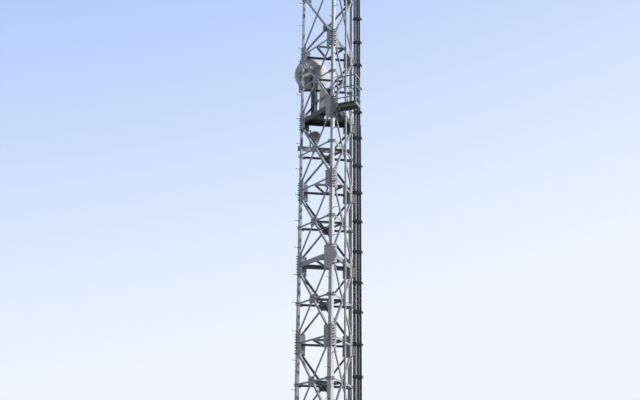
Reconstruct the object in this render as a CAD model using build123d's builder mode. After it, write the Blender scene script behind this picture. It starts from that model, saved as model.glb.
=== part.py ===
# Three-legged lattice mast: six bays with a platform, landing, cable ladder and two dishes.
# Millimetres, +Z up. The origin is the middle of the near leg's base plate, on its underside.
# The back face lies along X, and +Y runs from the near leg towards that face.

import math
import os

from build123d import *

os.makedirs("parts", exist_ok=True)

# Layout of the mast
BAY = 2500.0
BAYS = 6
BASE_RISE = 200.0
TOP_STUB = 250.0
R_HEEL = 1015.0
AXIS_Y = 960.0
TURNS = {"near": 0.0, "right": 120.0, "left": 240.0}

# Leg angles, from the foot up: width and thickness of the flanges
SPLICE_LEVELS = (1, 3, 5)
LEG_SIZES = ((140.0, 14.0), (120.0, 12.0), (100.0, 10.0), (90.0, 9.0))
SPLICE_GAP = 4.0

# Bracing of the faces, and the plates that join it
HEAVY_LEVELS = (0, 2, 4, 6)
WORK_X = 925.0
BRACE_W = 62.0
BRACE_T = 6.0
HEAVY_DEPTH = 136.0
GUSSET_T = 10.0
GUSSET_HEIGHTS = (680.0, 680.0, 660.0, 600.0, 600.0, 580.0, 580.0)
GUSSET_REACH = 165.0
TAB_H = 110.0
TAB_REACH = 60.0
CENTRE_W = 300.0
CENTRE_H = 290.0
COVER_LEVELS = (2, 4)
COVER_LEFT = -235.0
COVER_POINT = 170.0
COVER_UP = 240.0
COVER_DOWN = 475.0
PLAN_W = 56.0
PLAN_DEPTH = 85.0

# Feet
PLATE = 400.0
PLATE_T = 25.0
ANCHOR_PCD = 460.0
ANCHOR_R = 16.0
RIB_REACH = 105.0
RIB_H = 130.0

# Steps for climbing
STEP_FIRST = 400.0
STEP_PITCH = 900.0
STEP_LENGTH = 150.0
STEP_R = 9.0

# Cable ladder beside the right leg: places are distances out from the leg's heel
RAIL_W = 36.0
RAIL_DEPTH = 42.0
RAILS_AT = (106.0, 210.0)
CABLE_R = 20.5
CABLES_AT = (62.0, 158.0, 254.0)
LOW_CABLE_R = 11.5
LOW_CABLE_AT = 29.0
CLEAR = 0.3
RUNG_FROM = 8.0
RUNG_TO = 290.0
RUNG_H = 30.0
RUNG_T = 25.0
RUNGS_AT = (0.22, 0.63, 1.03, 1.44, 1.82, 2.23, 2.64, 3.04, 3.42, 3.83, 4.21, 4.57, 4.93, 5.29, 5.67, 6.04)
CLAMP_H = 84.0
CLAMP_T = 13.0
ARM_T = 8.0
ARM_FOOT = 26.0
ARM_UP = 25.0
ARM_DOWN = (0.0, 290.0, 290.0, 290.0, 290.0, 110.0, 110.0)

# Climbing rail down the middle of the right face
PIPE_OUT = 62.0
PIPE_R = 34.0

# Platform and landing
DECK_Z = BASE_RISE + 4 * BAY + 70.0
DECK_T = 30.0
LANDING_OUT = 705.0
LANDING_FROM = -775.0
LANDING_TO = -330.0
GUARD_H = 940.0
GUARD_R = 17.0

# Dishes and their gear
DISH_FROM_LEG = (236.0, 542.5)
DISH_BELOW = 370.0
DISH_TURN = 45.0
DISH_R = 600.0
DISH_DEPTH = 480.0
DISH_BULGE = 190.0
BEAM_BELOW = 913.0

ROOT2 = math.sqrt(2.0)
TOP_Z = BASE_RISE + BAYS * BAY + TOP_STUB
FACE_OUT = R_HEEL / 2 + 0.2588 * LEG_SIZES[0][0]
TIP_X = 0.8660 * R_HEEL - 0.9659 * LEG_SIZES[0][0]
HEEL_X = 0.8660 * R_HEEL
HEEL_Y = AXIS_Y + R_HEEL / 2
LIP_OUT = FACE_OUT - BRACE_W
FACE_TURNS = {"left": -150.0, "right": -30.0, "back": 90.0}


def save(part, name):
    part.part.label = name
    export_step(part.part, "parts/" + name + ".step")


def level(k):
    return BASE_RISE + k * BAY


def mid_level(k):
    return level(k) + BAY / 2


def turned(*names):
    return [Location((0, AXIS_Y, 0), (0, 0, TURNS[n])) for n in names]


def face_normal(face):
    a = math.radians(FACE_TURNS[face])
    return (math.cos(a), math.sin(a), 0)


def upright(face, out=0.0):
    # Plane in a face of the mast: x from left to right seen from outside, y up.
    nx, ny, nz = face_normal(face)
    origin = (nx * (FACE_OUT + out), AXIS_Y + ny * (FACE_OUT + out), 0)
    return Plane(origin=origin, x_dir=(-ny, nx, 0), z_dir=(nx, ny, 0))


def level_plane(face, z):
    # Level plane at a face: x straight out of the face, y along it.
    nx, ny, nz = face_normal(face)
    return Plane(origin=(nx * FACE_OUT, AXIS_Y + ny * FACE_OUT, z), x_dir=(nx, ny, 0), z_dir=(0, 0, 1))


def strip(points, thickness):
    # Outline of a plate of even thickness on the right-hand side of a line of points.
    normals = []
    for a, b in zip(points[:-1], points[1:]):
        length = math.hypot(b[0] - a[0], b[1] - a[1])
        normals.append(((b[1] - a[1]) / length, -(b[0] - a[0]) / length))
    outer = []
    for i, p in enumerate(points):
        n0 = normals[max(i - 1, 0)]
        n1 = normals[min(i, len(normals) - 1)]
        k = thickness / (1 + n0[0] * n1[0] + n0[1] * n1[1])
        outer.append((p[0] + (n0[0] + n1[0]) * k, p[1] + (n0[1] + n1[1]) * k))
    return list(points) + outer[::-1]


def mirrored(points):
    return [(-x, y) for x, y in points[::-1]]


def prism(z, height, outlines, names=("near", "right", "left")):
    # Upright bars or plates that stand the same way at each named leg.
    with BuildSketch(Plane.XY.offset(z)) as flat:
        with Locations(*turned(*names)):
            for outline in outlines:
                Polygon(*outline, align=None)
    extrude(flat.sketch, amount=height)


# Legs: a right angle with its heel outwards
def leg_outline(w, t):
    a = w / ROOT2
    b = t / ROOT2
    y = -R_HEEL
    return [(0, y), (a, y + a), (a - b, y + a + b), (0, y + 2 * b), (b - a, y + a + b), (-a, y + a)]


def leg(name):
    stops = [PLATE_T] + [level(k) for k in SPLICE_LEVELS] + [TOP_Z]
    last = len(LEG_SIZES) - 1
    with BuildPart() as part:
        for i, (w, t) in enumerate(LEG_SIZES):
            low = stops[i] + (SPLICE_GAP / 2 if i > 0 else 0)
            high = stops[i + 1] - (SPLICE_GAP / 2 if i < last else 0)
            prism(low, high - low, [leg_outline(w, t)], [name])
    return part


for leg_name in TURNS:
    save(leg(leg_name), leg_name + "_leg")


# Feet: square plates with four anchor holes, and ribs on the outside of the legs
with BuildPart() as base_plates:
    with BuildSketch():
        with Locations(*turned("near", "right", "left")):
            with Locations((0, -AXIS_Y)):
                Rectangle(PLATE, PLATE)
                with PolarLocations(ANCHOR_PCD / 2, 4, start_angle=45):
                    Circle(ANCHOR_R, mode=Mode.SUBTRACT)
    extrude(amount=PLATE_T)
save(base_plates, "base_plates")


def rib_plane(name, side):
    middle = LEG_SIZES[0][0] / 2 / ROOT2
    spot = Location((0, AXIS_Y, 0), (0, 0, TURNS[name])) * Location((side * middle, middle - R_HEEL, PLATE_T))
    angle = math.radians(TURNS[name] - 90 + 45 * side)
    out = (math.cos(angle), math.sin(angle), 0)
    return Plane(origin=spot.position, x_dir=out, z_dir=(out[1], -out[0], 0))


with BuildPart() as base_ribs:
    with BuildSketch(*[rib_plane(n, s) for n in TURNS for s in (-1, 1)]):
        Polygon((0, 0), (RIB_REACH, 0), (RIB_REACH, 15), (15, RIB_H), (0, RIB_H), align=None)
    extrude(amount=5, both=True)
save(base_ribs, "base_ribs")


# Plates that carry the bracing: bent to lie on the leg and then in the face
def face_point(along, out):
    a = math.radians(-150)
    c, s = math.cos(a), math.sin(a)
    return (c * (FACE_OUT + out) - s * along, s * (FACE_OUT + out) + c * along)


def gusset_outline(w, reach):
    a = 16.0 / ROOT2
    b = w / ROOT2
    line = [face_point(TIP_X - reach, 0), face_point(TIP_X - 10, 0), (-b, b - R_HEEL), (-a, a - R_HEEL)]
    return strip(line, GUSSET_T)


def width_below(z):
    return LEG_SIZES[sum(1 for k in SPLICE_LEVELS if z > level(k) + 1)][0]


with BuildPart() as gussets:
    for k in range(BAYS + 1):
        outline = gusset_outline(width_below(level(k)), GUSSET_REACH)
        low = max(level(k) - GUSSET_HEIGHTS[k] / 2, PLATE_T + RIB_H + 20)
        high = min(level(k) + GUSSET_HEIGHTS[k] / 2, TOP_Z - 20)
        prism(low, high - low, [outline, mirrored(outline)])
save(gussets, "leg_gussets")

with BuildPart() as tabs:
    for k in range(BAYS - 1):
        outline = gusset_outline(width_below(mid_level(k)), TAB_REACH)
        prism(mid_level(k) - TAB_H / 2, TAB_H, [outline, mirrored(outline)])
save(tabs, "leg_tabs")


# Bracing of a face: crossed angles, with a level angle at each crossing and each joint
def bars():
    # Each bar as its two ends in the plane of the face, and its width.
    end_x = TIP_X - 45
    rise = BAY * (WORK_X - end_x) / (2 * WORK_X)
    flat_x = TIP_X - 14
    found = []
    for k in range(BAYS):
        low, high = level(k) + rise, level(k + 1) - rise
        found.append(((-end_x, low), (end_x, high), BRACE_W))
        found.append(((end_x, low), (-end_x, high), BRACE_W))
        if k < BAYS - 1:
            found.append(((-flat_x, mid_level(k)), (flat_x, mid_level(k)), BRACE_W))
    for k in range(BAYS + 1):
        width = HEAVY_DEPTH if k in HEAVY_LEVELS else BRACE_W
        found.append(((-flat_x, level(k)), (flat_x, level(k)), width))
    return found


def bar_place(a, b):
    length = math.hypot(b[0] - a[0], b[1] - a[1])
    angle = math.degrees(math.atan2(b[1] - a[1], b[0] - a[0]))
    if angle > 90:
        angle -= 180
    return length, Location(((a[0] + b[0]) / 2, (a[1] + b[1]) / 2, 0), (0, 0, angle))


def bracing(face):
    with BuildPart() as part:
        with BuildSketch(upright(face)):
            for a, b, width in bars():
                length, place = bar_place(a, b)
                with Locations(place):
                    Rectangle(length, width)
        extrude(amount=-BRACE_T)
        with BuildSketch(upright(face)):
            for a, b, width in bars():
                length, place = bar_place(a, b)
                edge = (width - BRACE_T) / 2
                spots = [(0, edge), (0, -edge)] if width == HEAVY_DEPTH else [(0, edge)]
                with Locations(place):
                    with Locations(*spots):
                        Rectangle(length, BRACE_T)
        extrude(amount=-BRACE_W)
    return part


for face_name in FACE_TURNS:
    save(bracing(face_name), face_name + "_bracing")

with BuildPart() as centre_plates:
    for face_name in FACE_TURNS:
        with BuildSketch(upright(face_name)) as outline_sketch:
            with Locations(*[(0, mid_level(k)) for k in range(BAYS if face_name == "back" else BAYS - 1)]):
                Rectangle(CENTRE_W, CENTRE_H)
            chamfer(outline_sketch.vertices(), 50)
        extrude(amount=GUSSET_T)
save(centre_plates, "crossing_plates")


# Cover plates across the heel of the near leg at two heavy levels, on two ribs each
COVER_SHIFT = 2.0
COVER_OUTLINE = (
    (COVER_LEFT, COVER_UP),
    (COVER_LEFT, -COVER_DOWN),
    (-40.0, -COVER_DOWN),
    (COVER_POINT, 0.0),
    (10.0, COVER_UP),
)
COVER_RIB_X = 62.0
COVER_RIB_LOW = -210.0
COVER_RIB_HIGH = 130.0

with BuildPart() as covers:
    front = AXIS_Y - R_HEEL - COVER_SHIFT
    for k in COVER_LEVELS:
        with BuildSketch(Plane(origin=(0, front, level(k)), x_dir=(1, 0, 0), z_dir=(0, -1, 0))):
            Polygon(*COVER_OUTLINE, align=None)
    extrude(amount=GUSSET_T)
    low_y = -R_HEEL - COVER_SHIFT
    end_y = -R_HEEL + COVER_RIB_X - GUSSET_T * ROOT2
    side_a = COVER_RIB_X - 5
    side_b = COVER_RIB_X + 5
    rib = [(side_a, low_y), (side_b, low_y), (side_b, end_y + 5), (side_a, end_y - 5)]
    for k in COVER_LEVELS:
        prism(level(k) + COVER_RIB_LOW, COVER_RIB_HIGH - COVER_RIB_LOW, [rib, mirrored(rib)], ["near"])
save(covers, "node_covers")


# Plan bracing: a triangle of angles between the middles of the three faces
def triangle(out, turn=0.0):
    angles = [math.radians(30 + turn + 120 * i) for i in range(3)]
    return [(2 * out * math.cos(a), AXIS_Y + 2 * out * math.sin(a)) for a in angles]


PLAN_LEVELS = [level(k) + HEAVY_DEPTH / 2 for k in (0, 2, 6)]
PLAN_LEVELS += [level(k) + BRACE_W / 2 for k in (1, 3, 5)]
PLAN_LEVELS += [mid_level(k) + BRACE_W / 2 for k in range(BAYS - 1)]


def plan_bars(turns, shift, width, height):
    with BuildSketch(*[Plane.XY.offset(z) for z in PLAN_LEVELS]) as flat:
        for turn in turns:
            with Locations(Location((0, AXIS_Y, 0), (0, 0, turn))):
                with Locations((0, -FACE_OUT / 2 + shift)):
                    Rectangle(2 * FACE_OUT, width)
        Polygon(*triangle(LIP_OUT), align=None, mode=Mode.INTERSECT)
        Polygon(*triangle(FACE_OUT / 2 + PLAN_W / 2, 180), align=None, mode=Mode.INTERSECT)
    extrude(flat.sketch, amount=-height)


with BuildPart() as plan_bracing:
    lip = -(PLAN_W - BRACE_T) / 2
    plan_bars((0, 120, 240), 0, PLAN_W, BRACE_T)
    plan_bars((120, 240), lip, BRACE_T, PLAN_W)
    plan_bars((0,), lip, BRACE_T, PLAN_DEPTH)
save(plan_bracing, "plan_bracing")


# Steps on the flanges of two legs, set in turn on one flange and the other
def by_plate(z):
    # Whether a height falls on a plate that lies over the leg's flange.
    node = min(max(round((z - BASE_RISE) / BAY), 0), BAYS)
    middle = min(max(round((z - BASE_RISE) / BAY - 0.5), 0), BAYS - 2)
    on_gusset = abs(z - level(node)) < GUSSET_HEIGHTS[node] / 2 + 8
    return on_gusset or abs(z - mid_level(middle)) < TAB_H / 2 + 8


def behind_cover(z, side):
    # Whether a step at this height would pass through a cover plate.
    up = COVER_UP + 15 if side < 0 else COVER_UP / 2 + 10
    down = COVER_DOWN + 15 if side < 0 else COVER_DOWN / 2 - 50
    return any(-down < z - level(k) < up for k in COVER_LEVELS)


def step_bolts(name):
    with BuildPart() as part:
        for side, first in ((1, STEP_FIRST), (-1, STEP_FIRST + STEP_PITCH / 2)):
            z = first
            while z < TOP_Z - 150:
                w = LEG_SIZES[sum(1 for k in SPLICE_LEVELS if z > level(k))][0]
                middle = 0.55 * w / ROOT2
                start = GUSSET_T if by_plate(z) else 0.0
                angle = math.radians(TURNS[name] - 90 + 45 * side)
                spot = Location((0, AXIS_Y, 0), (0, 0, TURNS[name])) * Location((side * middle, middle - R_HEEL, z))
                out = Vector(math.cos(angle), math.sin(angle), 0)
                if name != "near" or not behind_cover(z, side):
                    with BuildSketch(Plane(origin=spot.position + out * start, z_dir=out)):
                        RegularPolygon(STEP_R, 6)
                    extrude(amount=STEP_LENGTH - start)
                z += STEP_PITCH
    return part


save(step_bolts("left"), "left_step_bolts")
save(step_bolts("near"), "near_step_bolts")


# Cable ladder beside the right leg: two rails, rungs behind them, and arms to the leg
def beside_leg(z):
    # Level plane whose origin is the heel of the right leg.
    return Plane(origin=(HEEL_X, HEEL_Y, z))


LADDER_LOW = 150.0
LADDER_HIGH = TOP_Z - 30
RUNGS_Z = [BASE_RISE + BAY * share for share in RUNGS_AT]

with BuildPart() as ladder_rails:
    with BuildSketch(beside_leg(LADDER_LOW)):
        with Locations(*[(x, -RAIL_DEPTH / 2) for x in RAILS_AT]):
            Rectangle(RAIL_W, RAIL_DEPTH)
            with Locations((0, RAIL_DEPTH / 2 - (RAIL_DEPTH - 5) / 2)):
                Rectangle(RAIL_W - 10, RAIL_DEPTH - 5, mode=Mode.SUBTRACT)
    extrude(amount=LADDER_HIGH - LADDER_LOW)
save(ladder_rails, "cable_ladder_rails")

with BuildPart() as ladder_bars:
    with BuildSketch(*[beside_leg(z - RUNG_H / 2) for z in RUNGS_Z]):
        with Locations(((RUNG_FROM + RUNG_TO) / 2, RUNG_T / 2)):
            Rectangle(RUNG_TO - RUNG_FROM, RUNG_T)
    extrude(amount=RUNG_H)
save(ladder_bars, "cable_ladder_bars")


def arm_outline():
    # A foot on the gusset that covers the leg's flange, then an arm to the first rail.
    out = GUSSET_T + CLEAR

    def on_gusset(along):
        return (0.9659 * out - 0.2588 * along, -0.2588 * out - 0.9659 * along)

    bend = (RAIL_DEPTH - 0.2588 * out) / 0.9659
    end = (RAILS_AT[0] + RAIL_W / 2, -RAIL_DEPTH)
    return strip([on_gusset(bend + ARM_FOOT), on_gusset(bend), end], ARM_T)


with BuildPart() as ladder_arms:
    for k in range(BAYS + 1):
        low = max(level(k) - ARM_DOWN[k], level(0) + ARM_UP)
        high = level(k) + ARM_UP + (ARM_DOWN[-1] if k == 0 else 0)
        with BuildSketch(beside_leg(low)):
            Polygon(*arm_outline(), align=None)
        extrude(amount=high - low)
save(ladder_arms, "cable_ladder_arms")

# Feeder cables in front of the rungs: three to the top, and a thin one to the platform
with BuildPart() as cables:
    with BuildSketch(beside_leg(LADDER_LOW - 60)):
        with Locations(*[(x, -CABLE_R - CLEAR) for x in CABLES_AT]):
            Circle(CABLE_R)
    extrude(amount=LADDER_HIGH + 20 - LADDER_LOW + 60)
    with BuildSketch(beside_leg(LADDER_LOW - 60)):
        with Locations((LOW_CABLE_AT, -LOW_CABLE_R - CLEAR)):
            Circle(LOW_CABLE_R)
    extrude(amount=DECK_Z - LADDER_LOW + 60)
save(cables, "feeder_cables")


# Clamps: one over the left and middle cables, one with a hook over the right cable
def clamp_outline(left):
    deep = -RAIL_DEPTH - CLEAR
    right = CABLES_AT[1] + CABLE_R + 9
    outer = [(left, 0), (left, deep - CLAMP_T), (right, deep - CLAMP_T), (right, 0)]
    return outer + [(right - 5, 0), (right - 5, deep), (left + 6, deep), (left + 6, 0)]


def hook_outline():
    deep = -RAIL_DEPTH - CLEAR
    left = RAILS_AT[1] + RAIL_W / 2 + 0.8
    right = CABLES_AT[2] + CABLE_R + 4
    inner = [(left, 0), (left + 4, 0), (left + 4, deep), (right, deep), (right + 57, 28)]
    return inner + [(right + 67, 19), (right + 9, deep - CLAMP_T), (left, deep - CLAMP_T)]


with BuildPart() as clamps:
    for z in RUNGS_Z:
        left = LOW_CABLE_AT - LOW_CABLE_R - 7.5 if z < DECK_Z else CABLES_AT[0] - CABLE_R - 8.5
        with BuildSketch(beside_leg(z - CLAMP_H / 2)):
            Polygon(*clamp_outline(left), align=None)
        extrude(amount=CLAMP_H)
        with BuildSketch(beside_leg(z - CLAMP_H / 4)):
            Polygon(*hook_outline(), align=None)
        extrude(amount=CLAMP_H / 2)
save(clamps, "cable_clamps")


# Places on the right face: x straight out of it, y along it
def along_face(z, height, spots, width_out, width_along):
    with BuildSketch(level_plane("right", z)) as flat:
        with Locations(*spots):
            Rectangle(width_out, width_along)
    extrude(flat.sketch, amount=height)


# Climbing rail down the middle of the right face
with BuildPart() as rail:
    with BuildSketch(level_plane("right", LADDER_LOW)):
        with Locations((PIPE_OUT, 0)):
            Circle(PIPE_R)
    extrude(amount=TOP_Z - 40 - LADDER_LOW)
save(rail, "climbing_rail")

with BuildPart() as rail_blocks:
    reach = PIPE_OUT - PIPE_R - 0.3
    for k in range(BAYS + 1):
        along_face(level(k) - 25, 50, [(reach / 2, 0)], reach, 40)
    for k in range(BAYS - 1):
        start = GUSSET_T
        along_face(mid_level(k) - 25, 50, [((reach + start) / 2, 0)], reach - start, 40)
save(rail_blocks, "climbing_rail_blocks")


# Platform deck inside the legs, with a hatch, and the landing outside the right face
with BuildPart() as deck:
    with BuildSketch(Plane.XY.offset(DECK_Z - DECK_T)):
        Polygon(*triangle(LIP_OUT), align=None)
        Polygon(*triangle(880, 180), align=None, mode=Mode.INTERSECT)
        with Locations((70, AXIS_Y + 80)):
            Rectangle(400, 400, mode=Mode.SUBTRACT)
    extrude(amount=DECK_T)
save(deck, "platform_deck")

with BuildPart() as landing_frame:
    low = DECK_Z - 100
    mid = (LANDING_FROM + LANDING_TO) / 2
    long = LANDING_TO - LANDING_FROM
    along_face(low, 70, [((LANDING_OUT - 40 + 12) / 2, LANDING_FROM + 95)], LANDING_OUT - 40 - 12, 40)
    along_face(low, 70, [((LANDING_OUT - 40) / 2, LANDING_TO - 25)], LANDING_OUT - 40, 40)
    along_face(low, 70, [(LANDING_OUT - 20, mid)], 40, long)
save(landing_frame, "landing_frame")

with BuildPart() as landing_floor:
    along_face(DECK_Z - 30, 30, [((LANDING_OUT + 40) / 2, mid)], LANDING_OUT - 40, long)
save(landing_floor, "landing_floor")

# Guard rail: posts on the landing, with three rails around its near and outer sides
POSTS = ((60.0, LANDING_FROM + 20), (LANDING_OUT - 20, LANDING_FROM + 20), (LANDING_OUT - 20, LANDING_TO - 20))
POST_W = 34.0
RAILS_Z = (DECK_Z + 180, DECK_Z + 550, DECK_Z + GUARD_H)

with BuildPart() as guard_posts:
    along_face(DECK_Z, GUARD_H - GUARD_R, POSTS, POST_W, POST_W)
save(guard_posts, "guard_posts")

with BuildPart() as guard_rails:
    near_y = POSTS[0][1]
    outer_x = POSTS[1][0]
    half = POST_W / 2
    top_line = [(POSTS[0][0] - half, near_y + half), (outer_x - half, near_y + half), (outer_x - half, POSTS[2][1] + half)]
    with BuildSketch(level_plane("right", RAILS_Z[2] - GUARD_R)):
        Polygon(*strip(top_line, POST_W), align=None)
    extrude(amount=2 * GUARD_R)
    for z in RAILS_Z[:2]:
        near_mid = ((POSTS[0][0] + outer_x) / 2, near_y)
        outer_mid = (outer_x, (near_y + POSTS[2][1]) / 2)
        along_face(z - 14, 28, [near_mid], outer_x - POSTS[0][0] - POST_W, 28)
        along_face(z - 14, 28, [outer_mid], 28, POSTS[2][1] - near_y - POST_W)
save(guard_rails, "guard_rails")


# Large drum dish behind the left leg
def dish_plane(at, turn):
    a = math.radians(turn)
    return Plane(origin=at, x_dir=(math.sin(a), -math.cos(a), 0), z_dir=(0, 0, 1))


def dish_axis(at, turn):
    a = math.radians(turn)
    return Axis(at, (math.cos(a), math.sin(a), 0))


def cap_points(pole_y, edge_x, edge_y):
    # Pole, middle and edge of a ball's cap that is centred on the axis.
    rise = edge_y - pole_y
    ball = (edge_x**2 + rise**2) / (2 * rise)
    a = math.asin(edge_x / ball) / 2
    return (0, pole_y), (ball * math.sin(a), pole_y + ball * (1 - math.cos(a))), (edge_x, edge_y)


DISH_AT = (DISH_FROM_LEG[0] - HEEL_X, HEEL_Y + DISH_FROM_LEG[1], level(5) - DISH_BELOW)

with BuildPart() as reflector:
    with BuildSketch(dish_plane(DISH_AT, DISH_TURN)):
        with BuildLine():
            outer = ThreePointArc(*cap_points(-DISH_BULGE, DISH_R, 0))
            edge = Line(outer @ 1, (DISH_R, 20))
            rim = Line(edge @ 1, (DISH_R - 12, 20))
            inner = ThreePointArc(*cap_points(8 - DISH_BULGE, DISH_R - 12, 20))
            Line(inner @ 0, outer @ 0)
        make_face()
    revolve(axis=dish_axis(DISH_AT, DISH_TURN))
save(reflector, "large_dish_reflector")

with BuildPart() as shroud:
    with BuildSketch(dish_plane(DISH_AT, DISH_TURN)):
        with Locations((DISH_R - 4, 20 + DISH_DEPTH / 2)):
            Rectangle(8, DISH_DEPTH)
    revolve(axis=dish_axis(DISH_AT, DISH_TURN))
save(shroud, "large_dish_shroud")

with BuildPart() as radome:
    with BuildSketch(dish_plane(DISH_AT, DISH_TURN)):
        with Locations((DISH_R / 2, 20 + DISH_DEPTH + 8)):
            Rectangle(DISH_R, 16)
    revolve(axis=dish_axis(DISH_AT, DISH_TURN))
save(radome, "large_dish_radome")

# The large dish's hub, and the upright pole that carries it behind the left leg
POLE_BACK = 145.0
POLE_R = 45.0
POLE_LOW = DISH_AT[2] - 830.0
POLE_HIGH = DISH_AT[2] + 400.0
ARMS_Z = (DISH_AT[2] - 600.0, DISH_AT[2] - 160.0)
HUB_R = 150.0
AXIS_DIR = Vector(math.cos(math.radians(DISH_TURN)), math.sin(math.radians(DISH_TURN)), 0)
POLE_AT = Vector(*DISH_AT) - AXIS_DIR * (DISH_BULGE + POLE_BACK)

with BuildPart() as hub:
    with BuildSketch(dish_plane(DISH_AT, DISH_TURN)):
        with Locations((HUB_R / 2, -DISH_BULGE / 2 - 23)):
            Rectangle(HUB_R, DISH_BULGE + 44)
        with BuildLine():
            under = ThreePointArc(*cap_points(-DISH_BULGE - 0.3, DISH_R, -0.3))
            Polyline(under @ 1, (DISH_R, 200), (0, 200), under @ 0)
        make_face(mode=Mode.SUBTRACT)
    revolve(axis=dish_axis(DISH_AT, DISH_TURN))
    with BuildSketch(Plane.XY.offset(DISH_AT[2] - 90)):
        with Locations(Location(POLE_AT, (0, 0, DISH_TURN))):
            with Locations((POLE_R + (POLE_BACK - 40 - POLE_R) / 2, 0)):
                Rectangle(POLE_BACK - 40 - POLE_R - 0.6, 100)
    extrude(amount=180)
save(hub, "large_dish_hub")

with BuildPart() as pole:
    with BuildSketch(Plane.XY.offset(POLE_LOW)):
        with Locations((POLE_AT.X, POLE_AT.Y)):
            Circle(POLE_R)
            Circle(POLE_R - 5, mode=Mode.SUBTRACT)
    extrude(amount=POLE_HIGH - POLE_LOW)
save(pole, "large_dish_pole")


# Arms from the back flange of the left leg to the pole
def leg_spot(name, side, along, out):
    # A point outside a leg's flange: along it from the heel, and out from its surface.
    x = side * (along + out) / ROOT2 if side > 0 else -(along + out) / ROOT2
    y = -R_HEEL + (along - out) / ROOT2
    return Location((0, AXIS_Y, 0), (0, 0, TURNS[name])) * Location((x, y, 0))


flange_spot = leg_spot("left", -1, 0, 0).position
flange_turn = math.radians(TURNS["left"] + 135)
FLANGE_DIR = Vector(math.cos(flange_turn), math.sin(flange_turn), 0)
FLANGE_OUT = Vector(-math.sin(flange_turn), math.cos(flange_turn), 0)
arm_along = (POLE_AT - Vector(flange_spot.X, flange_spot.Y, POLE_AT.Z)).dot(FLANGE_DIR)
arm_reach = (POLE_AT - Vector(flange_spot.X, flange_spot.Y, POLE_AT.Z)).dot(FLANGE_OUT) - POLE_R - 0.3

with BuildPart() as arms:
    for z in ARMS_Z:
        base = Plane(origin=flange_spot + FLANGE_DIR * arm_along + Vector(0, 0, z), x_dir=FLANGE_DIR, z_dir=FLANGE_OUT)
        with BuildSketch(base):
            Rectangle(80, 80)
            with Locations((0, 8)):
                Rectangle(64, 64, mode=Mode.SUBTRACT)
        extrude(amount=arm_reach)
save(arms, "large_dish_arms")

# Gear on the platform: a pole with a radio unit, its cables, and a cabinet
GEAR_POLE = (389.0 - HEEL_X, AXIS_Y + 40.0)
GEAR_R = 40.0
RADIO_Z = DECK_Z + 1290.0
RADIO_H = 530.0

with BuildPart() as gear_pole:
    with BuildSketch(Plane.XY.offset(DECK_Z)):
        with Locations(GEAR_POLE):
            Circle(GEAR_R)
            Circle(GEAR_R - 4, mode=Mode.SUBTRACT)
    extrude(amount=RADIO_Z + RADIO_H + 60 - DECK_Z)
save(gear_pole, "radio_pole")

with BuildPart() as radio_plate:
    with Locations((GEAR_POLE[0] + 70, GEAR_POLE[1] - GEAR_R - 0.3 - 6, RADIO_Z + RADIO_H / 2)):
        Box(240, 12, RADIO_H - 120)
save(radio_plate, "radio_plate")

with BuildPart() as radio:
    with Locations((GEAR_POLE[0] + 110, GEAR_POLE[1] - GEAR_R - 0.3 - 12 - 60, RADIO_Z + RADIO_H / 2)):
        Box(180, 120, RADIO_H)
    chamfer(radio.edges().filter_by(Axis.Z), 12)
save(radio, "radio_unit")

with BuildPart() as gear_cables:
    with BuildSketch(Plane.XY.offset(DECK_Z)):
        with Locations(*[(GEAR_POLE[0] + x, GEAR_POLE[1] - 72) for x in (46, 72, 98)]):
            Circle(11)
    extrude(amount=RADIO_Z - DECK_Z)
save(gear_cables, "radio_cables")

with BuildPart() as cabinet:
    with Locations((-220, AXIS_Y - 230, DECK_Z + 300)):
        Box(230, 180, 600)
    chamfer(cabinet.edges().filter_by(Axis.Z), 10)
save(cabinet, "cabinet")

# Beam across the outside of the back face, with a small drum dish on a short pole
BEAM_Z = level(4) - BEAM_BELOW
BEAM_OVER = 66.0
BEAM_SHORT = 79.0
BEAM_LENGTH = 2 * HEEL_X + BEAM_OVER - BEAM_SHORT
BEAM_MID = (BEAM_OVER + BEAM_SHORT) / 2

with BuildPart() as beam:
    with BuildSketch(upright("back")):
        with Locations((BEAM_MID, BEAM_Z)):
            Rectangle(BEAM_LENGTH, 156)
    extrude(amount=8)
    with BuildSketch(upright("back")):
        with Locations((BEAM_MID, BEAM_Z + 74), (BEAM_MID, BEAM_Z - 74)):
            Rectangle(BEAM_LENGTH, 8)
    extrude(amount=62)
save(beam, "antenna_beam")

SMALL_X = 349.0 - HEEL_X
SMALL_Y = AXIS_Y + FACE_OUT + 34
SMALL_DISH = (SMALL_X + 185.0, SMALL_Y + 102.0, BEAM_Z + 563.0)

with BuildPart() as small_pole:
    with BuildSketch(Plane.XY.offset(BEAM_Z + 78)):
        with Locations((SMALL_X, SMALL_Y)):
            Circle(24)
    extrude(amount=630)
save(small_pole, "small_dish_pole")

with BuildPart() as small_mount:
    left = SMALL_X + 24.3
    right = SMALL_DISH[0] + 25
    with Locations(((left + right) / 2, SMALL_Y, SMALL_DISH[2])):
        Box(right - left, 44, 44)
    with Locations((SMALL_DISH[0], (SMALL_Y + 22 + SMALL_DISH[1]) / 2, SMALL_DISH[2])):
        Box(50, SMALL_DISH[1] - SMALL_Y - 22, 44)
save(small_mount, "small_dish_mount")

with BuildPart() as small_dish:
    with BuildSketch(Plane(origin=SMALL_DISH, x_dir=(-1, 0, 0), z_dir=(0, 1, 0))):
        Circle(180)
    extrude(amount=160)
    chamfer(small_dish.edges().group_by(Axis.Y)[0], 25)
save(small_dish, "small_dish")
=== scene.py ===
# Looks for the lattice mast: galvanised steel, bolts, cables, dishes and their gear.
# Metres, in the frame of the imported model: +Z up, the near leg's foot at the origin.

import math

import bmesh
import bpy
from mathutils import Matrix, Vector


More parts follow.
